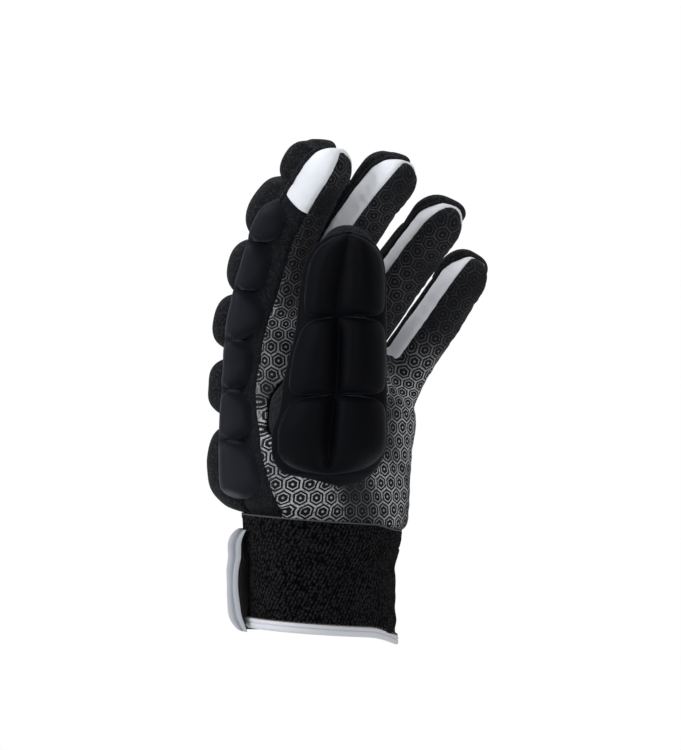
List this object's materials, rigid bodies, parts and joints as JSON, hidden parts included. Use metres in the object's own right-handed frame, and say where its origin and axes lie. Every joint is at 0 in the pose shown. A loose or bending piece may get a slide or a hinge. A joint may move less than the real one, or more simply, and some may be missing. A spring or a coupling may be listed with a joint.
{
  "type": "field hockey glove",
  "caption": "Padded left-hand glove worn upright, with segmented foam guards on its back, fingers and thumb, a printed grip palm and an elastic cuff with a closure tab.",
  "frame": {"origin": "centre of the wrist opening, at the cuff's lower edge", "axes": "+Z from the wrist to the fingertips, -Y the palm's side, -X the index finger's side"},
  "size_m": [0.1263, 0.1031, 0.2289],
  "materials": {
    "grip_cloth": "matt, with a printed grip pattern",
    "knit_cloth": "heather knit over foam",
    "pad_cloth": "smooth stretch cloth over foam, soft sheen",
    "white_cloth": "smooth stretch cloth",
    "loop_pile": "ribbed elastic with loop pile"
  },
  "bodies": {
    "root": {"palm_panel": "grip_cloth", "back_panel": "knit_cloth", "hand_guard": "knit_cloth", "index_guard": "knit_cloth", "middle_guard": "knit_cloth", "ring_guard": "knit_cloth", "little_guard": "knit_cloth", "index_side_panel": "pad_cloth", "index_side_guard": "pad_cloth", "thumb_stall": "pad_cloth", "thumb_guard": "pad_cloth", "index_side_strip": "white_cloth", "index_middle_strip": "white_cloth", "middle_ring_strip": "white_cloth", "ring_little_strip": "white_cloth", "little_side_strip": "white_cloth", "cuff_binding": "white_cloth", "closure_tab": "white_cloth", "cuff_band": "loop_pile"}
  },
  "joints": []
}
